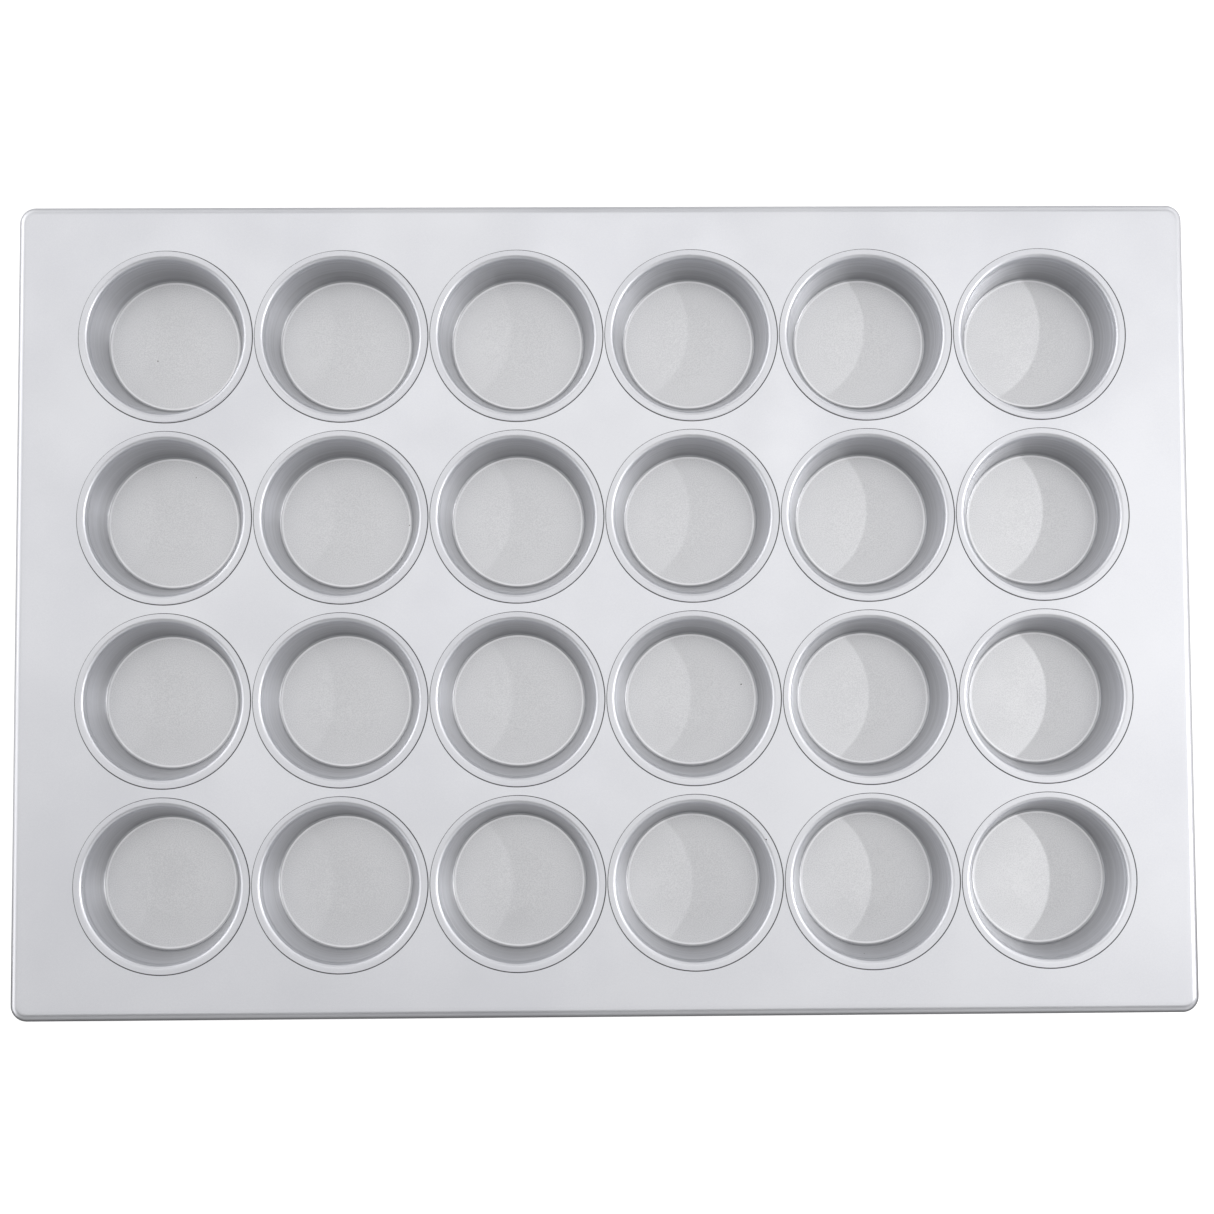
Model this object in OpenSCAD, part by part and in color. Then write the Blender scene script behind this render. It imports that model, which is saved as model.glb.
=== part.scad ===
// Jumbo muffin tin: 24 drawn steel cups locked into one pressed steel panel,
// whose edge is rolled around a stiffening wire.
// Millimetres. +X runs along the long side, +Y towards the back, +Z up.
// The origin is in the middle of the tin, on the plane that the cups stand on.

/* [Panel] */
// Overall length, left to right
tin_length = 657.2; // [600:0.1:700]
// Overall width, front to back
tin_width = 454; // [415:0.1:500]
// Radius of the outer corners, seen from above
corner_r = 9; // [8:0.5:30]
// Thickness of the panel's sheet
panel_t = 0.8; // [0.6:0.1:1]
// Outer radius of the bend along the panel's edge
edge_bend_r = 4.5; // [3:0.1:5]
// Height of the rolled edge, from the panel's top to the bottom of the roll
edge_height = 11; // [10.5:0.1:14]

/* [Rim wire] */
// Diameter of the wire inside the rolled edge
wire_d = 4.8; // [3:0.1:5]
// Gap between the wire and the sheet rolled around it
wire_gap = 0.1; // [0.05:0.01:0.3]
// How far the sheet wraps around the wire, in degrees
wrap_angle = 250; // [180:5:280]
// Gap between the wire's two ends, in the middle of the back edge
wire_end_gap = 1; // [0.5:0.5:10]

/* [Cups] */
// Cups in a row
cup_columns = 6; // [1:1:6]
// Rows of cups
cup_rows = 4; // [1:1:4]
// Distance between the centres of neighbouring cups in a row
pitch_x = 98.35; // [97:0.05:104]
// Distance between the centres of neighbouring rows
pitch_y = 102.06; // [97:0.01:110]
// Thickness of a cup's sheet
cup_t = 0.5; // [0.4:0.05:0.6]
// Inside depth, from the top of the flange to the floor's edge
cup_depth = 35; // [30:0.5:60]
// Inside radius where the wall meets the floor, without the corner's rounding
floor_r = 38; // [34:0.1:40]
// Inside radius where the wall meets the flange, without the corner's rounding
mouth_r = 43.9; // [43.5:0.1:44.2]
// Outer radius of the flange that lies on the panel
flange_r = 48.3; // [48:0.1:48.4]
// Inside radius of the bend between the wall and the floor
floor_bend_r = 1.5; // [1:0.1:2]
// Radius of the bend between the wall and the flange, on its upper side
rim_bend_r = 2.5; // [2:0.1:2.6]
// How far the middle of the floor is raised above its edge
floor_rise = 0.3; // [0.1:0.05:0.6]
// Outer radius of the small step up to the middle of the floor
floor_step_r = 36.2; // [30:0.1:36.4]

/* [Joint between cup and panel] */
// How far the bead in a cup's wall stands out under the panel's collar
bead_out = 0.35; // [0.2:0.05:0.5]
// Depth of the bead's middle below the top of the flange
bead_depth = 4.6; // [4.5:0.1:6]
// Half of the bead's height
bead_half = 1.2; // [0.8:0.1:1.3]
// How far the collar around a hole reaches down from the panel's top
collar_drop = 2.6; // [2.3:0.1:2.8]
// Gap between a cup's wall and the collar around it
collar_gap = 0.05; // [0.02:0.01:0.1]
// Radius of the bend between the panel and a collar, on its upper side
collar_bend_r = 2.2; // [2.1:0.05:2.3]
// Radius where a collar meets the flat panel, under the cup's flange
collar_outer_r = 47; // [46.8:0.1:47.4]

/* [Hidden] */
$fn = 96;
// Largest turn of one step of a bend in a sheet's section, in degrees
bend_step = 10;
// Overlap that makes a cut run cleanly through a face
cut = 1;
// Flat strip between the panel's plate and the bend of its edge
edge_flat = 1;
// Bend radii at the middle and at both ends of the bead
bead_mid_r = 0.8;
bead_end_r = 0.5;
// Width and bend radius of the small step in the floor
floor_step_w = 0.6;
floor_step_bend_r = 0.6;

floor_z = cup_t;
panel_top = floor_z + cup_depth - cup_t;
flange_top = panel_top + cup_t;
wall_slope = (mouth_r - floor_r) / cup_depth;
wall_angle = atan(wall_slope);
bead_z = flange_top - bead_depth;

wire_r = wire_d / 2;
wrap_r = wire_r + wire_gap;
wire_inset = wrap_r + panel_t;
wire_z = panel_top - edge_height + wire_inset;
straight_x = tin_length - 2 * corner_r;
straight_y = tin_width - 2 * corner_r;

// ---- Names and places of the cups: row 1 is at the back, column 1 at the left ----

function cup_name(row, column) = str("cup_r", row, "_c", column);
function cup_x(column) = (column - (cup_columns + 1) / 2) * pitch_x;
function cup_y(row) = ((cup_rows + 1) / 2 - row) * pitch_y;

// Inside radius of a cup's wall at height z
function wall_r(z) = floor_r + (z - floor_z) * wall_slope;

// ---- Sections of bent sheet ----

function unit(v) = v / norm(v);
function left_of(v) = [-v.y, v.x];
function cross_2d(u, v) = u.x * v.y - u.y * v.x;
function turned(v, angle) = [v.x * cos(angle) - v.y * sin(angle), v.x * sin(angle) + v.y * cos(angle)];

// Points of the arc of radius r that rounds corner b between a and c
function rounded_corner(a, b, c, r) =
    let (
        before = unit(b - a),
        after = unit(c - b),
        turn = atan2(cross_2d(before, after), before * after),
        steps = ceil(abs(turn) / bend_step),
        start = b - before * r * tan(abs(turn) / 2),
        centre = start + left_of(before) * r * sign(turn)
    )
    [for (i = [0:steps]) centre + turned(start - centre, turn * i / steps)];

// The open line through corners, with every inner corner rounded to its own radius
function rounded_line(corners, radii) =
    let (last = len(corners) - 1)
    concat(
        [corners[0]],
        [
            for (i = [1:last - 1])
            for (point = rounded_corner(corners[i - 1], corners[i], corners[i + 1], radii[i - 1])) point
        ],
        [corners[last]]
    );

// One point of a line, moved to the left by a sheet's thickness
function moved_point(line, i, thickness) =
    let (
        before = unit(i > 0 ? line[i] - line[i - 1] : line[1] - line[0]),
        after = unit(i < len(line) - 1 ? line[i + 1] - line[i] : line[i] - line[i - 1])
    )
    line[i] + thickness * (left_of(before) + left_of(after)) / (1 + before * after);

// Closed outline of a sheet that lies to the left of a line
function sheet_outline(line, thickness) = concat(
    line,
    [for (i = [len(line) - 1:-1:0]) moved_point(line, i, thickness)]
);

// Points of an arc around a centre
function arc(centre, r, from, to) =
    let (steps = ceil(abs(to - from) / bend_step))
    [for (i = [0:steps]) centre + r * [cos(from + (to - from) * i / steps), sin(from + (to - from) * i / steps)]];

// A cup's section, drawn along its inner side from the flange's edge to the middle of the floor
function cup_line() =
    let (
        step_end_r = floor_step_r - floor_step_w,
        raised_z = floor_z + floor_rise
    )
    rounded_line(
        [
            [flange_r, flange_top],
            [mouth_r, flange_top],
            [wall_r(bead_z + bead_half), bead_z + bead_half],
            [wall_r(bead_z) + bead_out, bead_z],
            [wall_r(bead_z - bead_half), bead_z - bead_half],
            [floor_r, floor_z],
            [floor_step_r, floor_z],
            [step_end_r, raised_z],
            [0, raised_z]
        ],
        [rim_bend_r, bead_end_r, bead_mid_r, bead_end_r, floor_bend_r, floor_step_bend_r, floor_step_bend_r]
    );

// A collar's section, drawn along the side that faces the cup
function collar_line() =
    let (
        beside_wall = (cup_t + collar_gap) / cos(wall_angle),
        end_z = panel_top - collar_drop
    )
    rounded_line(
        [
            [collar_outer_r, panel_top],
            [wall_r(panel_top) + beside_wall, panel_top],
            [wall_r(end_z) + beside_wall, end_z]
        ],
        [collar_bend_r]
    );

// The rolled edge's section, drawn along its inner side: a flat strip, the bend, then the wrap around the wire.
// x = 0 is the outermost line of the tin.
function edge_line() = concat(
    [[-edge_bend_r - edge_flat, panel_top - panel_t]],
    arc([-edge_bend_r, panel_top - edge_bend_r], edge_bend_r - panel_t, 90, 0),
    arc([-wire_inset, wire_z], wrap_r, 0, -wrap_angle)
);

// ---- The tin's outline ----

// Places a quarter at each outer corner: [x side, y side, turn about Z]
outer_corners = [[1, 1, 0], [-1, 1, 90], [-1, -1, 180], [1, -1, 270]];

module at_outer_corners() {
    for (corner = outer_corners)
        translate([corner.x * straight_x / 2, corner.y * straight_y / 2, 0])
            rotate([0, 0, corner.z])
                children();
}

// Flat plate of the panel, inside the section of the edge
module flat_outline() {
    flat_corner_r = corner_r - edge_bend_r - edge_flat;
    square([straight_x + 2 * flat_corner_r, straight_y], center = true);
    square([straight_x, straight_y + 2 * flat_corner_r], center = true);
    at_outer_corners() circle(r = flat_corner_r);
}

module at_every_cup() {
    for (row = [1:cup_rows])
        for (column = [1:cup_columns])
            translate([cup_x(column), cup_y(row), 0])
                children();
}

// Straight run of the rolled edge: its section, drawn out along the side
module edge_run(length) {
    translate([0, length / 2, 0])
        rotate([90, 0, 0])
            linear_extrude(length)
                polygon(sheet_outline(edge_line(), panel_t));
}

module rolled_edge() {
    for (side = [0, 180])
        rotate([0, 0, side])
            translate([tin_length / 2, 0, 0])
                edge_run(straight_y);
    for (side = [90, 270])
        rotate([0, 0, side])
            translate([tin_width / 2, 0, 0])
                edge_run(straight_x);
    at_outer_corners()
        rotate_extrude(angle = 90)
            translate([corner_r, 0])
                polygon(sheet_outline(edge_line(), panel_t));
}

// ---- The pieces ----

// The panel with its holes, the collars drawn down around them and the rolled edge: one sheet
module frame_sheet() {
    color("gainsboro") {
        translate([0, 0, panel_top - panel_t])
            linear_extrude(panel_t)
                difference() {
                    flat_outline();
                    at_every_cup() circle(r = collar_outer_r);
                }
        at_every_cup()
            rotate_extrude()
                polygon(sheet_outline(collar_line(), panel_t));
        rolled_edge();
    }
}

// The wire inside the rolled edge, bent to a ring whose ends meet in the middle of the back
module rim_wire() {
    bend_r = corner_r - wire_inset;
    color("slategray")
        translate([0, 0, wire_z])
            difference() {
                union() {
                    for (side = [-1, 1]) {
                        translate([side * (tin_length / 2 - wire_inset), 0, 0])
                            rotate([90, 0, 0])
                                cylinder(r = wire_r, h = straight_y, center = true);
                        translate([0, side * (tin_width / 2 - wire_inset), 0])
                            rotate([0, 90, 0])
                                cylinder(r = wire_r, h = straight_x, center = true);
                    }
                    at_outer_corners()
                        rotate_extrude(angle = 90)
                            translate([bend_r, 0])
                                circle(r = wire_r);
                }
                translate([0, tin_width / 2 - wire_inset, 0])
                    cube([wire_end_gap, wire_d + cut, wire_d + cut], center = true);
            }
}

// One drawn cup, with its flange on the panel and its bead under the panel's collar
module cup(row, column) {
    color("silver")
        translate([cup_x(column), cup_y(row), 0])
            rotate_extrude()
                polygon(sheet_outline(cup_line(), cup_t));
}

frame_sheet();
rim_wire();
for (row = [1:cup_rows])
    for (column = [1:cup_columns])
        cup(row, column);
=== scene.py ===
"""Looks of a 24-cup jumbo muffin tin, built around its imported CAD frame. Metres, +Z up, +Y to the back."""

import math

import bmesh
import bpy
from mathutils import Matrix, Vector


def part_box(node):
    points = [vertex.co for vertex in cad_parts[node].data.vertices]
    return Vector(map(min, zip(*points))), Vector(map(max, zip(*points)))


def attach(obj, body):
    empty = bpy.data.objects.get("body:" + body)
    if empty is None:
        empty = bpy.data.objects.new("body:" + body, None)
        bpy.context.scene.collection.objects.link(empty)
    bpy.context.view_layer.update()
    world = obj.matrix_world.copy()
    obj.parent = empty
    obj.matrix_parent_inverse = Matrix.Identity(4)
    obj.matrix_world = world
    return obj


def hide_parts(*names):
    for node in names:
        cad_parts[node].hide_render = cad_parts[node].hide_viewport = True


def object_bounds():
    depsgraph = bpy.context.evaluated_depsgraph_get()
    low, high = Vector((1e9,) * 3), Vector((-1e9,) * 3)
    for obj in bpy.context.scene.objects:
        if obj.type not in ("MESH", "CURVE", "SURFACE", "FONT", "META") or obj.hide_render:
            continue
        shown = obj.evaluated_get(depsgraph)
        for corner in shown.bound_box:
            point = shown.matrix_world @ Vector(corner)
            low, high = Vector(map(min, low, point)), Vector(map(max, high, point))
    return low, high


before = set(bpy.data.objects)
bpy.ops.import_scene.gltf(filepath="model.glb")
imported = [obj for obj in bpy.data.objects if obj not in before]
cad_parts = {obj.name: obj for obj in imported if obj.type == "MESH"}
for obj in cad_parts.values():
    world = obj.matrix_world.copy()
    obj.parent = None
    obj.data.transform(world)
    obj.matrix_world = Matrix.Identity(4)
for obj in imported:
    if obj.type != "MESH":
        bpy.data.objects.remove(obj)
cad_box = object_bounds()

MM = 0.001
WORLD_UP = Vector((0, 0, 1))
WHITE = (1, 1, 1, 1)

# ---- Sizes: the outline, heights and cup places come from the frame ----

panel_low, panel_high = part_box("frame_sheet")
wire_low, wire_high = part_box("rim_wire")
CUPS = sorted(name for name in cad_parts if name.startswith("cup_"))

HALF_X, HALF_Y = panel_high.x, panel_high.y
PANEL_TOP = panel_high.z
FLANGE_TOP = cad_box[1].z
WIRE_R = (wire_high.z - wire_low.z) / 2
WIRE_Z = (wire_high.z + wire_low.z) / 2
WIRE_INSET = HALF_X - wire_high.x + WIRE_R

PANEL_T = 0.8 * MM
CORNER_R = 9 * MM
EDGE_BEND_R = 4.5 * MM
WRAP_ANGLE = math.radians(250)
WIRE_END_GAP = 1 * MM

CUP_T = FLANGE_TOP - PANEL_TOP
FLOOR_Z = CUP_T
FLOOR_R = 38 * MM
MOUTH_R = 43.9 * MM
FLANGE_R = 48.3 * MM
FLOOR_BEND_R = 1.5 * MM
RIM_BEND_R = 2.5 * MM
FLOOR_RISE = 0.3 * MM
FLOOR_STEP_R = 36.2 * MM
FLOOR_STEP_W = 20 * MM
FLOOR_STEP_BEND_R = 60 * MM

BEAD_OUT = 0.35 * MM
BEAD_Z = FLANGE_TOP - 4.6 * MM
BEAD_HALF = 1.2 * MM
BEAD_MID_R = 0.8 * MM
BEAD_END_R = 0.5 * MM
COLLAR_DROP = 2.6 * MM
COLLAR_GAP = 0.05 * MM
COLLAR_BEND_R = 2.2 * MM
HOLE_R = 46.5 * MM
WALL_SLOPE = (MOUTH_R - FLOOR_R) / (FLANGE_TOP - FLOOR_Z)

# Fineness of the meshes
BEND_STEP = math.radians(9)
CUP_SIDES = 96
SECTION_STEP = 3 * MM
CELL_PARTS = 24
# Rings of the panel's mesh around a hole, from the edge of the cup's cell (1) to the hole (0)
CELL_RINGS = (1, 0.6, 0.25, 0)
CORNER_PARTS = 10
WIRE_SIDES = 16
SAME_POINT = 0.001 * MM
SHARP_ANGLE = math.radians(40)

# The camera: sensor and lens in mm, shifts in frame widths, place, and turns in degrees about X, Y and Z
CAMERA_SENSOR, CAMERA_LENS = 36, 73.01
CAMERA_SHIFT_X, CAMERA_SHIFT_Y = -0.0209, -0.0351
CAMERA_AT = (-0.0088, -0.0784, PANEL_TOP + 1.3722)
CAMERA_TURNS = (4.255, -0.985, -0.366)

# The paper under the tin: half its length, how much light it throws back, and its glow to the camera
PAPER_HALF = 6
# The paper in front of the tin is painted darker for the light it throws back: painted shade
PAPER_WHITE, PAPER_FRONT_SHADE = 0.65, 0.12
PAPER_GLOW = 0.7
PAPER_ROUGHNESS = 0.9

# The small lamp: its place, radius and power
LAMP_AT = (1.40, -0.116, 1.037)
LAMP_R = 15 * MM
LAMP_POWER = 38

# Soft boxes of the light tent: towards, inner and outer angle in degrees, strength
SOFT_BOXES = [
    ((0.3, 0.05, 1), 6, 26, 1.18),
    ((-0.3, 0.1, 1), 6, 30, 0.95),
    ((0, 0.45, 1), 6, 30, 0.42),
    ((0, 1, 0.78), 6, 26, 0.4),
    ((-1, 0, 0.15), 20, 50, 1.25),
    ((-1, 1, 0.2), 20, 50, 1.25),
    ((1, 1, 0.2), 20, 50, 1.35),
    ((1, -1, 0.2), 20, 50, 0.8),
    ((-1, -1, 0.2), 20, 50, 0.4),
    ((0, -1, 1), 8, 28, 0.28),
    ((0, -1, 0.36), 8, 28, 0.2),
    ((1, 0, 0.1), 4, 16, 0.95),
]
AMBIENT = 0.01

# The steel's colours, from its dullest places to its brightest, and the marks on it
PANEL_DULL, PANEL_BRIGHT = (0.68, 0.685, 0.72), (0.735, 0.74, 0.77)
FLOOR_DULL, FLOOR_BRIGHT = (0.632, 0.634, 0.652), (0.775, 0.777, 0.792)
# Painted shade on the cup walls: the dull colour near the floor, the bright one near the rim
WALL_SHADED, WALL_LIT = (0.45, 0.454, 0.47), (0.76, 0.769, 0.805)
WIRE_DULL, WIRE_BRIGHT = (0.32, 0.32, 0.33), (0.46, 0.46, 0.47)
# Painted highlight: colour of the bright ring where each cup's floor bends up
RING_HIGHLIGHT = (0.86, 0.86, 0.88)
# Painted shadow: colour of the dark line where each cup's flange edge meets the panel
SEAM_SHADOW = (0.07, 0.07, 0.075)
BURNT = (0.08, 0.07, 0.06)

PANEL_ROUGHNESS = 0.41
PANEL_ROUGHNESS_SPREAD = 0.03
WALL_ROUGHNESS = 0.45
FLOOR_ROUGHNESS = 0.48
CUP_ROUGHNESS_SPREAD = 0.02
WIRE_ROUGHNESS = 0.45
COAT_WEIGHT, COAT_ROUGHNESS = 0.25, 0.22

# Sizes of the patterns, in waves per metre, and their strengths
GRAIN_SCALE = 1700
GRAIN_DEPTH = 0.02 * MM
GRAIN_DETAIL, GRAIN_ROUGHNESS = 2, 0.6
CLOUD_DETAIL = 3
PANEL_GRAIN, CUP_GRAIN, WIRE_GRAIN = 0.2, 0.35, 0.5
PANEL_CLOUD_SCALE = 11
PANEL_ROUGHNESS_SCALE = 14
CUP_CLOUD_SCALE = 24
# Drawing marks run around a wall, so they change fast with height only
MARK_SCALES = (9, 9, 500)
MARK_STRENGTH = 0.7
# Where a pattern counts as fully low and fully high, and two patterns laid over each other
PATCHES_FROM, PATCHES_TO = 0.3, 0.7
MOTTLE_FROM, MOTTLE_TO = 0.5, 1.0
TRACE_WEIGHT = 0.5
# Specks: cells per metre, radius in cells with its fade, and the share of cells without one
SPECK_SCALE = 90
SPECK_R, SPECK_FADE = 0.03, 0.015
SPECK_FREE, SPECK_CHOSEN = 0.955, 0.96

# The painted shadow line around each flange: its radius, its shift to the right and front where the shadow
# falls wider, half its width, its fade
SEAM_R = 48.6 * MM
SEAM_RIGHT, SEAM_FRONT = 0.25 * MM, 0.25 * MM
SEAM_HALF = 0.2 * MM
SEAM_FADE = 0.2 * MM

# The painted highlight ring where a cup's floor starts to bend up: half its width and its fade
RING_HALF = 0.3 * MM
RING_FADE = 0.5 * MM
# Where a floor's look gives way to the wall's, outwards from that bend's start
FLOOR_LOOK_END = 0.2 * MM
FLOOR_LOOK_FADE = 0.4 * MM


def cup_centre(name):
    """Middle of a cup, seen from above."""
    low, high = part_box(name)
    return (low.x + high.x) / 2, (low.y + high.y) / 2


def even_places(values):
    """The distinct values, one for each row or column of cups, spaced exactly evenly."""
    count = len({round(value / MM) for value in values})
    low, high = min(values), max(values)
    return [low + (high - low) * i / (count - 1) for i in range(count)]


COLUMN_XS = even_places([cup_centre(name)[0] for name in CUPS])
ROW_YS = even_places([cup_centre(name)[1] for name in CUPS])
CELL_HALF_X = (COLUMN_XS[1] - COLUMN_XS[0]) / 2
CELL_HALF_Y = (ROW_YS[1] - ROW_YS[0]) / 2


def wall_r(z):
    """Inside radius of a cup's straight wall at height z."""
    return FLOOR_R + (z - FLOOR_Z) * WALL_SLOPE


# ---- Sections of bent sheet, as lists of 2-D points ----


def left_of(v):
    """The vector turned a quarter to its left."""
    return Vector((-v.y, v.x))


def rounded_corner(a, b, c, r):
    """Points of the arc of radius r that rounds corner b between a and c."""
    before, after = (b - a).normalized(), (c - b).normalized()
    turn = math.atan2(before.x * after.y - before.y * after.x, before.dot(after))
    steps = max(2, math.ceil(abs(turn) / BEND_STEP))
    start = b - before * r * math.tan(abs(turn) / 2)
    centre = start + left_of(before) * math.copysign(r, turn)
    return [centre + Matrix.Rotation(turn * i / steps, 2) @ (start - centre) for i in range(steps + 1)]


def rounded_line(corners, radii):
    """The open line through corners, each inner corner rounded, with points added along its straights."""
    corners = [Vector(p) for p in corners]
    line = [corners[0]]
    for i, r in enumerate(radii, start=1):
        line += rounded_corner(corners[i - 1], corners[i], corners[i + 1], r)
    line.append(corners[-1])
    return divided(line)


def divided(line):
    """The line without repeated points, and with points added where a stretch is over SECTION_STEP."""
    points = [line[0]]
    for a, b in zip(line, line[1:]):
        if (b - a).length < SAME_POINT:
            continue
        parts = math.ceil((b - a).length / SECTION_STEP)
        points += [a.lerp(b, i / parts) for i in range(1, parts + 1)]
    return points


def arc(centre, r, start, end):
    """Points of an arc around centre, angles in radians."""
    steps = math.ceil(abs(end - start) / BEND_STEP)
    angles = [start + (end - start) * i / steps for i in range(steps + 1)]
    return [Vector((centre[0] + r * math.cos(a), centre[1] + r * math.sin(a))) for a in angles]


def moved(line, distance):
    """The line moved to its left by a distance."""
    points = []
    for i, point in enumerate(line):
        before = (line[max(i, 1)] - line[max(i, 1) - 1]).normalized()
        after = (line[min(i, len(line) - 2) + 1] - line[min(i, len(line) - 2)]).normalized()
        points.append(point + distance * (left_of(before) + left_of(after)) / (1 + before.dot(after)))
    return points


def cup_line():
    """A cup's inner side, from the flange's edge to the middle of the floor, as (radius, z)."""
    raised = FLOOR_Z + FLOOR_RISE
    return rounded_line(
        [
            (FLANGE_R, FLANGE_TOP),
            (MOUTH_R, FLANGE_TOP),
            (wall_r(BEAD_Z + BEAD_HALF), BEAD_Z + BEAD_HALF),
            (wall_r(BEAD_Z) + BEAD_OUT, BEAD_Z),
            (wall_r(BEAD_Z - BEAD_HALF), BEAD_Z - BEAD_HALF),
            (FLOOR_R, FLOOR_Z),
            (FLOOR_STEP_R, FLOOR_Z),
            (FLOOR_STEP_R - FLOOR_STEP_W, raised),
            (0, raised),
        ],
        [RIM_BEND_R, BEAD_END_R, BEAD_MID_R, BEAD_END_R, FLOOR_BEND_R, FLOOR_STEP_BEND_R, FLOOR_STEP_BEND_R],
    )


def collar_line():
    """The side of a hole's collar that faces the cup, from the flat panel down, as (radius, z)."""
    beside_wall = (CUP_T + COLLAR_GAP) / math.cos(math.atan(WALL_SLOPE))
    end_z = PANEL_TOP - COLLAR_DROP
    return rounded_line(
        [
            (HOLE_R, PANEL_TOP),
            (wall_r(PANEL_TOP) + beside_wall, PANEL_TOP),
            (wall_r(end_z) + beside_wall, end_z),
        ],
        [COLLAR_BEND_R],
    )


def edge_line():
    """The outer side of the panel's edge, from the flat panel to the end of the roll, as (outwards, z)."""
    return divided(
        [Vector((-CORNER_R, PANEL_TOP))]
        + arc((-EDGE_BEND_R, PANEL_TOP - EDGE_BEND_R), EDGE_BEND_R, math.pi / 2, 0)
        + arc((-WIRE_INSET, WIRE_Z), WIRE_INSET, 0, -WRAP_ANGLE)
    )


# ---- Mesh helpers ----


def make_piece(name, vertices, faces, material):
    """A smooth-shaded mesh object, with its points welded; edges over SHARP_ANGLE stay sharp."""
    mesh = bpy.data.meshes.new(name)
    mesh.from_pydata(vertices, [], faces)
    welded = bmesh.new()
    welded.from_mesh(mesh)
    bmesh.ops.remove_doubles(welded, verts=welded.verts, dist=SAME_POINT)
    bmesh.ops.recalc_face_normals(welded, faces=welded.faces)
    welded.to_mesh(mesh)
    welded.free()
    mesh.polygons.foreach_set("use_smooth", [True] * len(mesh.polygons))
    mesh.set_sharp_from_angle(angle=SHARP_ANGLE)
    mesh.materials.append(material)
    piece = bpy.data.objects.new(name, mesh)
    bpy.context.scene.collection.objects.link(piece)
    return piece


def keep_flats_flat(piece):
    """Weights a piece's normals by face area, so that a bend's shading stays off the flat beside it."""
    normals = piece.modifiers.new("even normals", "WEIGHTED_NORMAL")
    normals.keep_sharp = True


def strips(rows, closed=False):
    """Vertices and quads of a surface that runs through rows of points, all rows of one length."""
    width = len(rows[0])
    vertices = [point for row in rows for point in row]
    faces = []
    for r in range(len(rows) - 1 + closed):
        below = (r + 1) % len(rows)
        for i in range(width - 1):
            here, there = r * width + i, below * width + i
            faces.append([here, here + 1, there + 1, there])
    return vertices, faces


def joined(surfaces):
    """One surface made of several."""
    vertices, faces = [], []
    for more_vertices, more_faces in surfaces:
        offset = len(vertices)
        vertices += more_vertices
        faces += [[offset + i for i in face] for face in more_faces]
    return vertices, faces


def revolved(outline, centre, sides):
    """Vertices and faces of a closed outline of (radius, z) points turned about a vertical axis."""
    vertices, rings, faces = [], [], []
    for r, z in outline:
        count = 1 if r < SAME_POINT else sides
        rings.append([len(vertices) + i % count for i in range(sides)])
        for i in range(count):
            angle = 2 * math.pi * i / sides
            vertices.append(Vector((centre[0] + r * math.cos(angle), centre[1] + r * math.sin(angle), z)))
    for ring, below in zip(rings, rings[1:] + rings[:1]):
        for i in range(sides):
            j = (i + 1) % sides
            corners = list(dict.fromkeys([ring[i], below[i], below[j], ring[j]]))
            if len(corners) > 2:
                faces.append(corners)
    return vertices, faces


# ---- The pieces ----


def place(piece, node):
    """Makes a piece stand for a CAD node: it joins the root body, and the node is hidden."""
    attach(piece, "root")
    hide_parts(node)


def make_cup(name, material):
    """One drawn cup: its section turned about the cup's axis."""
    line = cup_line()
    outline = line + moved(line, CUP_T)[::-1]
    vertices, faces = revolved(outline, cup_centre(name), CUP_SIDES)
    cup = make_piece(name + "_shell", vertices, faces, material)
    keep_flats_flat(cup)
    place(cup, name)


def lines_across(centres, half, end):
    """Places of the panel's mesh lines along one axis: even within each cup's cell, then out to an end."""
    places = [c - half + 2 * half * i / CELL_PARTS for c in centres for i in range(CELL_PARTS)]
    places.append(centres[-1] + half)
    parts = math.ceil((end - places[-1]) / SECTION_STEP)
    margin = [places[-1] + (end - places[-1]) * i / parts for i in range(1, parts + 1)]
    return [-p for p in reversed(margin)] + places + margin


def cell_surface(centre):
    """The flat panel around one hole and the hole's collar, out to the edges of the cup's cell."""
    half_x, half_y = CELL_HALF_X, CELL_HALF_Y
    corner = math.atan2(half_y, half_x)
    quarters = [
        (-corner, corner, (half_x, -half_y), (half_x, half_y)),
        (corner, math.pi - corner, (half_x, half_y), (-half_x, half_y)),
        (math.pi - corner, math.pi + corner, (-half_x, half_y), (-half_x, -half_y)),
        (math.pi + corner, 2 * math.pi - corner, (-half_x, -half_y), (half_x, -half_y)),
    ]
    angles, rim = [], []
    for start, end, a, b in quarters:
        for i in range(CELL_PARTS):
            angles.append(start + (end - start) * i / CELL_PARTS)
            rim.append(Vector(a).lerp(Vector(b), i / CELL_PARTS))
    angles.append(angles[0] + 2 * math.pi)
    rim.append(rim[0])
    middle = Vector(centre)
    rows = []
    for share in CELL_RINGS:
        row = []
        for angle, outer in zip(angles, rim):
            hole = HOLE_R * Vector((math.cos(angle), math.sin(angle)))
            row.append((middle + hole.lerp(outer, share)).to_3d() + WORLD_UP * PANEL_TOP)
        rows.append(row)
    for r, z in collar_line()[1:]:
        ring = [middle + r * Vector((math.cos(a), math.sin(a))) for a in angles]
        rows.append([point.to_3d() + WORLD_UP * z for point in ring])
    return strips(rows)


def edge_stations(x_lines, y_lines):
    """Places along the panel's inner rectangle, with the direction outwards at each, all the way round."""
    end_x, end_y = x_lines[-1], y_lines[-1]
    stations = []
    for points, turn in (
        ([(end_x, y) for y in y_lines], 0),
        ([(x, end_y) for x in reversed(x_lines)], 1),
        ([(-end_x, y) for y in reversed(y_lines)], 2),
        ([(x, -end_y) for x in x_lines], 3),
    ):
        stations += [(Vector(p), turn * math.pi / 2) for p in points]
        for i in range(1, CORNER_PARTS):
            stations.append((Vector(points[-1]), (turn + i / CORNER_PARTS) * math.pi / 2))
    return stations


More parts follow.
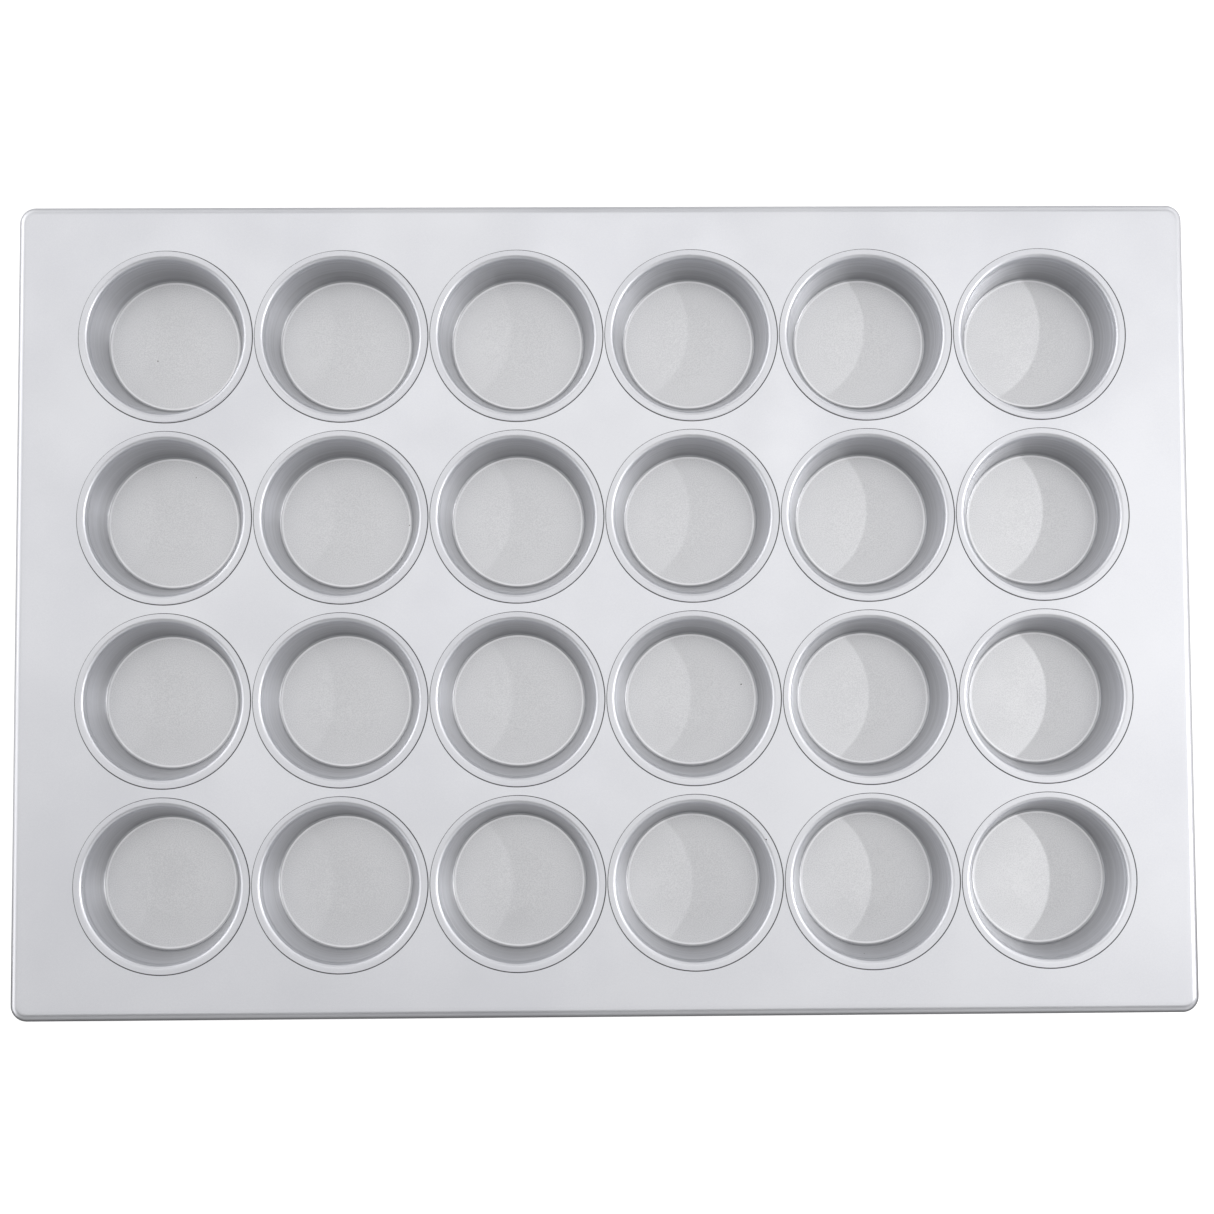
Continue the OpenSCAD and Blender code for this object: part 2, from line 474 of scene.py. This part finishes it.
def at_station(station, outwards, z):
    """A point of the edge's section, placed at a station."""
    base, angle = station
    reach = CORNER_R + outwards
    return Vector((base.x + reach * math.cos(angle), base.y + reach * math.sin(angle), z))


def make_panel(material):
    """The panel: cells with their collars, the margins around them and the rolled edge, one thin sheet."""
    x_lines = lines_across(COLUMN_XS, CELL_HALF_X, HALF_X - CORNER_R)
    y_lines = lines_across(ROW_YS, CELL_HALF_Y, HALF_Y - CORNER_R)
    surfaces = [cell_surface((x, y)) for x in COLUMN_XS for y in ROW_YS]
    grid_x, grid_y = COLUMN_XS[-1] + CELL_HALF_X, ROW_YS[-1] + CELL_HALF_Y
    for x0, x1 in zip(x_lines, x_lines[1:]):
        for y0, y1 in zip(y_lines, y_lines[1:]):
            if abs(x0 + x1) / 2 > grid_x or abs(y0 + y1) / 2 > grid_y:
                corners = [(x0, y0), (x1, y0), (x1, y1), (x0, y1)]
                surfaces.append(([Vector((x, y, PANEL_TOP)) for x, y in corners], [[0, 1, 2, 3]]))
    stations = edge_stations(x_lines, y_lines)
    line = edge_line()
    surfaces.append(strips([[at_station(s, o, z) for o, z in line] for s in stations], closed=True))
    vertices, faces = joined(surfaces)
    panel = make_piece("panel_sheet", vertices, faces, material)
    sheet = panel.modifiers.new("sheet", "SOLIDIFY")
    sheet.thickness = PANEL_T
    sheet.offset = -1
    sheet.use_even_offset = True
    keep_flats_flat(panel)
    place(panel, "frame_sheet")


def make_wire(material):
    """The wire inside the rolled edge: a ring of round bar, open in the middle of the back edge."""
    end_x, end_y = HALF_X - CORNER_R, HALF_Y - CORNER_R
    path = []
    for turn, corner in enumerate(((-end_x, end_y), (-end_x, -end_y), (end_x, -end_y), (end_x, end_y))):
        for i in range(CORNER_PARTS + 1):
            path.append((Vector(corner), (turn + 1 + i / CORNER_PARTS) * math.pi / 2))
    ends = [(Vector((side * WIRE_END_GAP / 2, end_y)), math.pi / 2) for side in (-1, 1)]
    path = [ends[0]] + path + [ends[1]]
    angles = [2 * math.pi * i / WIRE_SIDES for i in range(WIRE_SIDES)]
    section = [(WIRE_R * math.cos(a) - WIRE_INSET, WIRE_Z + WIRE_R * math.sin(a)) for a in angles]
    section.append(section[0])
    vertices, faces = strips([[at_station(station, o, z) for o, z in section] for station in path])
    last_row = (len(path) - 1) * len(section)
    for start in (0, last_row):
        faces.append([start + i for i in range(WIRE_SIDES)])
    wire = make_piece("rim_wire_ring", vertices, faces, material)
    place(wire, "rim_wire")


# ---- Materials ----

# The Mix node's sockets for colours, by number because their names occur more than once
MIX_A, MIX_B, MIX_RESULT = 6, 7, 2


def add_node(tree, kind, links=None, **settings):
    """A shader node with its properties set, and inputs linked or given a value."""
    made = tree.nodes.new(kind)
    for name, value in settings.items():
        setattr(made, name, value)
    for name, value in (links or {}).items():
        if isinstance(value, bpy.types.NodeSocket):
            tree.links.new(value, made.inputs[name])
        else:
            made.inputs[name].default_value = value
    return made


def noise(tree, where, scale, detail=2.0, roughness=0.5):
    """A noise value around 0.5."""
    values = {"Vector": where, "Scale": scale, "Detail": detail, "Roughness": roughness}
    return add_node(tree, "ShaderNodeTexNoise", values).outputs["Fac"]


def ramp(tree, value, start, end, low, high, smooth=True):
    """The value spread from start..end to low..high, and held level beyond."""
    values = {"Value": value, "From Min": start, "From Max": end, "To Min": low, "To Max": high}
    kind = "SMOOTHSTEP" if smooth else "LINEAR"
    return add_node(tree, "ShaderNodeMapRange", values, interpolation_type=kind).outputs["Result"]


def maths(tree, operation, a, b=0.0):
    """The result of a Math node."""
    return add_node(tree, "ShaderNodeMath", {0: a, 1: b}, operation=operation).outputs[0]


def mixed(tree, share, a, b):
    """A colour between a and b; share is a socket, and a and b are sockets or colours."""
    made = add_node(tree, "ShaderNodeMix", {"Factor": share}, data_type="RGBA")
    for socket, value in ((made.inputs[MIX_A], a), (made.inputs[MIX_B], b)):
        if isinstance(value, bpy.types.NodeSocket):
            tree.links.new(value, socket)
        else:
            socket.default_value = (*value, 1)
    return made.outputs[MIX_RESULT]


def vector_maths(tree, operation, a, b=(0, 0, 0)):
    """The vector that a Vector Math node gives."""
    return add_node(tree, "ShaderNodeVectorMath", {0: a, 1: b}, operation=operation).outputs[0]


def from_cup_axis(tree, where, right=0.0, front=0.0):
    """Distance from the axis of the nearest cup, with the axes moved to the right and front a little."""
    pitch = (2 * CELL_HALF_X, 2 * CELL_HALF_Y, 1)
    columns, rows = len(COLUMN_XS), len(ROW_YS)
    spot = vector_maths(tree, "SUBTRACT", where, (right, -front, 0))
    cell = vector_maths(tree, "FLOOR", vector_maths(tree, "DIVIDE", spot, pitch))
    cell = vector_maths(tree, "MAXIMUM", cell, (-columns / 2, -rows / 2, 0))
    cell = vector_maths(tree, "MINIMUM", cell, (columns / 2 - 1, rows / 2 - 1, 0))
    middle = vector_maths(tree, "MULTIPLY", vector_maths(tree, "ADD", cell, (0.5, 0.5, 0)), pitch)
    flat = vector_maths(tree, "MULTIPLY", vector_maths(tree, "SUBTRACT", spot, middle), (1, 1, 0))
    return add_node(tree, "ShaderNodeVectorMath", {0: flat}, operation="LENGTH").outputs["Value"]


def new_steel(name):
    """A metal material, with its tree, its shader and the place on the piece."""
    material = bpy.data.materials.new(name)
    material.use_nodes = True
    tree = material.node_tree
    shader = tree.nodes["Principled BSDF"]
    shader.inputs["Metallic"].default_value = 1.0
    return material, tree, shader, tree.nodes.new("ShaderNodeTexCoord").outputs["Object"]


def add_grain(tree, shader, where, strength):
    """Fine grain in the surface of rolled and coated sheet."""
    height = noise(tree, where, GRAIN_SCALE, GRAIN_DETAIL, GRAIN_ROUGHNESS)
    settings = {"Height": height, "Strength": strength, "Distance": GRAIN_DEPTH}
    bump = add_node(tree, "ShaderNodeBump", settings)
    tree.links.new(bump.outputs["Normal"], shader.inputs["Normal"])
    return height


def add_glaze(shader):
    """The thin clear baked coat over the steel."""
    shader.inputs["Coat Weight"].default_value = COAT_WEIGHT
    shader.inputs["Coat Roughness"].default_value = COAT_ROUGHNESS


def mottled(tree, main, trace):
    """A share from 0 to 1 that follows one pattern, with a trace of another."""
    tone = maths(tree, "ADD", main, maths(tree, "MULTIPLY", trace, TRACE_WEIGHT))
    return ramp(tree, tone, MOTTLE_FROM, MOTTLE_TO, 0, 1)


def uneven(tree, middle, patches, spread):
    """A roughness that strays from its middle by up to the spread, in patches."""
    return maths(tree, "ADD", middle, ramp(tree, patches, PATCHES_FROM, PATCHES_TO, -spread, spread))


def panel_steel(tree, where, grain):
    """Colour of the glazed panel sheet: cloudy, with a trace of its grain."""
    clouds = noise(tree, where, PANEL_CLOUD_SCALE, CLOUD_DETAIL)
    return mixed(tree, mottled(tree, clouds, grain), PANEL_DULL, PANEL_BRIGHT)


def panel_material():
    """Satin sheet, with a painted shadow line where each cup's flange ends."""
    material, tree, shader, where = new_steel("satin_panel")
    add_glaze(shader)
    steel = panel_steel(tree, where, add_grain(tree, shader, where, PANEL_GRAIN))
    # Painted shadow along each flange's edge, wider to the right and front
    off_axis = from_cup_axis(tree, where, SEAM_RIGHT, SEAM_FRONT)
    off_line = maths(tree, "ABSOLUTE", maths(tree, "SUBTRACT", off_axis, SEAM_R))
    seam_shadow = ramp(tree, off_line, SEAM_HALF, SEAM_HALF + SEAM_FADE, 1, 0)
    tree.links.new(mixed(tree, seam_shadow, steel, SEAM_SHADOW), shader.inputs["Base Color"])
    patches = noise(tree, where, PANEL_ROUGHNESS_SCALE, CLOUD_DETAIL)
    rough = uneven(tree, PANEL_ROUGHNESS, patches, PANEL_ROUGHNESS_SPREAD)
    tree.links.new(rough, shader.inputs["Roughness"])
    return material


def wall_steel(tree, where):
    """Colour of a cup's wall: painted shade, darker towards the floor and lighter towards the rim, with
    drawing marks that run around it.
    """
    height = add_node(tree, "ShaderNodeSeparateXYZ", {0: where}).outputs["Z"]
    # Painted shade: the wall darkens from the rim down to the floor
    shade_rise = ramp(tree, height, FLOOR_Z, FLANGE_TOP, 0, 1, smooth=False)
    marks = noise(tree, vector_maths(tree, "MULTIPLY", where, MARK_SCALES), 1.0)
    marked = maths(tree, "MULTIPLY", maths(tree, "SUBTRACT", marks, 0.5), MARK_STRENGTH)
    return mixed(tree, maths(tree, "ADD", shade_rise, marked), WALL_SHADED, WALL_LIT)


def specks(tree, where):
    """How much of a tiny burnt-on speck is at a place: there are only a few on the tin."""
    cells = add_node(tree, "ShaderNodeTexVoronoi", {"Vector": where, "Scale": SPECK_SCALE})
    near = ramp(tree, cells.outputs["Distance"], SPECK_R, SPECK_R + SPECK_FADE, 1, 0)
    draw = add_node(tree, "ShaderNodeSeparateColor", {0: cells.outputs["Color"]}).outputs[0]
    return maths(tree, "MULTIPLY", near, ramp(tree, draw, SPECK_FREE, SPECK_CHOSEN, 0, 1))


def cup_material():
    """Drawn sheet: a smooth flange like the panel, a wall, and a speckled floor with a painted highlight
    ring at its edge.
    """
    material, tree, shader, where = new_steel("satin_cup")
    add_glaze(shader)
    grain = add_grain(tree, shader, where, CUP_GRAIN)
    clouds = noise(tree, where, CUP_CLOUD_SCALE, CLOUD_DETAIL)

    off_axis = from_cup_axis(tree, where)
    on_flange = ramp(tree, off_axis, MOUTH_R, MOUTH_R + RIM_BEND_R / 2, 0, 1)
    bend_start = FLOOR_R - FLOOR_BEND_R
    floor_end = bend_start + FLOOR_LOOK_END
    on_floor = ramp(tree, off_axis, floor_end, floor_end + FLOOR_LOOK_FADE, 1, 0)
    off_ring = maths(tree, "ABSOLUTE", maths(tree, "SUBTRACT", off_axis, bend_start))
    on_highlight_ring = ramp(tree, off_ring, RING_HALF, RING_HALF + RING_FADE, 1, 0)

    floor_steel = mixed(tree, mottled(tree, grain, clouds), FLOOR_DULL, FLOOR_BRIGHT)
    # Painted highlight ring at the foot of the wall
    floor_steel = mixed(tree, on_highlight_ring, floor_steel, RING_HIGHLIGHT)
    inside_steel = mixed(tree, on_floor, wall_steel(tree, where), floor_steel)
    steel = mixed(tree, on_flange, inside_steel, panel_steel(tree, where, grain))
    tree.links.new(mixed(tree, specks(tree, where), steel, BURNT), shader.inputs["Base Color"])

    off_wall = maths(tree, "MAXIMUM", on_flange, on_floor)
    rough = ramp(tree, off_wall, 0, 1, WALL_ROUGHNESS, FLOOR_ROUGHNESS)
    tree.links.new(uneven(tree, rough, clouds, CUP_ROUGHNESS_SPREAD), shader.inputs["Roughness"])
    return material


def wire_material():
    """Plain drawn wire, duller than the sheet."""
    material, tree, shader, where = new_steel("drawn_wire")
    grain = add_grain(tree, shader, where, WIRE_GRAIN)
    tree.links.new(mixed(tree, grain, WIRE_DULL, WIRE_BRIGHT), shader.inputs["Base Color"])
    shader.inputs["Roughness"].default_value = WIRE_ROUGHNESS
    return material


# ---- Camera, floor and light ----


def make_camera():
    """A long lens almost straight above the tin, a little in front of its middle."""
    data = bpy.data.cameras.new("camera")
    data.sensor_width = CAMERA_SENSOR
    data.lens = CAMERA_LENS
    data.shift_x = CAMERA_SHIFT_X
    data.shift_y = CAMERA_SHIFT_Y
    camera = bpy.data.objects.new("camera", data)
    bpy.context.scene.collection.objects.link(camera)
    camera.location = CAMERA_AT
    camera.rotation_euler = [math.radians(turn) for turn in CAMERA_TURNS]
    bpy.context.scene.camera = camera


def paper_material():
    """White paper that glows a little to the camera, and in its reflected light is darkest in front: painted
    shade that only reflections see.
    """
    paper = bpy.data.materials.new("white_paper")
    paper.use_nodes = True
    tree = paper.node_tree
    shader = tree.nodes["Principled BSDF"]
    shader.inputs["Roughness"].default_value = PAPER_ROUGHNESS
    shader.inputs["Emission Color"].default_value = WHITE
    seen = tree.nodes.new("ShaderNodeLightPath").outputs["Is Camera Ray"]
    tree.links.new(maths(tree, "MULTIPLY", seen, PAPER_GLOW), shader.inputs["Emission Strength"])
    where = tree.nodes.new("ShaderNodeTexCoord").outputs["Object"]
    depth = add_node(tree, "ShaderNodeSeparateXYZ", {0: where}).outputs["Y"]
    # Painted shade: darker paper in front of the tin, seen only in reflected light
    shaded = ramp(tree, depth, -HALF_Y, -HALF_Y / 2, PAPER_FRONT_SHADE, PAPER_WHITE)
    grey = maths(tree, "MAXIMUM", shaded, maths(tree, "MULTIPLY", seen, PAPER_WHITE))
    tree.links.new(grey, shader.inputs["Base Color"])
    return paper


def make_floor():
    """A paper floor, well past the tin on all sides."""
    mesh = bpy.data.meshes.new("floor")
    corners = [(-1, -1), (1, -1), (1, 1), (-1, 1)]
    vertices = [(x * PAPER_HALF, y * PAPER_HALF, cad_box[0].z) for x, y in corners]
    mesh.from_pydata(vertices, [], [[0, 1, 2, 3]])
    mesh.materials.append(paper_material())
    floor = bpy.data.objects.new("floor", mesh)
    bpy.context.scene.collection.objects.link(floor)


def soft_box(tree, direction, towards, inner, outer, strength):
    """Light from within a cone, full inside the inner angle and fading to nothing at the outer one."""
    directions = {0: direction, 1: tuple(Vector(towards).normalized())}
    facing = add_node(tree, "ShaderNodeVectorMath", directions, operation="DOT_PRODUCT").outputs["Value"]
    return ramp(tree, facing, math.cos(math.radians(outer)), math.cos(math.radians(inner)), 0, strength)


def make_world():
    """A light tent: soft boxes above and all around, weak in front, and plain white to the camera."""
    world = bpy.data.worlds.new("light_tent")
    world.use_nodes = True
    bpy.context.scene.world = world
    tree = world.node_tree
    background = tree.nodes["Background"]
    direction = tree.nodes.new("ShaderNodeTexCoord").outputs["Generated"]
    light = maths(tree, "ADD", soft_box(tree, direction, *SOFT_BOXES[0]), AMBIENT)
    for box in SOFT_BOXES[1:]:
        light = maths(tree, "ADD", light, soft_box(tree, direction, *box))
    seen = tree.nodes.new("ShaderNodeLightPath").outputs["Is Camera Ray"]
    strength = add_node(tree, "ShaderNodeMix", {"Factor": seen, "A": light, "B": 1.0}, data_type="FLOAT")
    tree.links.new(strength.outputs["Result"], background.inputs["Strength"])
    background.inputs["Color"].default_value = WHITE


def make_side_light():
    """The small lamp to the right, which throws the crescents across the cups' floors."""
    data = bpy.data.lights.new("side_light", "POINT")
    data.energy = LAMP_POWER
    data.shadow_soft_size = LAMP_R
    light = bpy.data.objects.new("side_light", data)
    bpy.context.scene.collection.objects.link(light)
    light.location = LAMP_AT


make_camera()
make_world()
make_side_light()
make_floor()
bpy.context.scene.view_settings.view_transform = "Standard"

make_panel(panel_material())
make_wire(wire_material())
steel = cup_material()
for cup_name in CUPS:
    make_cup(cup_name, steel)
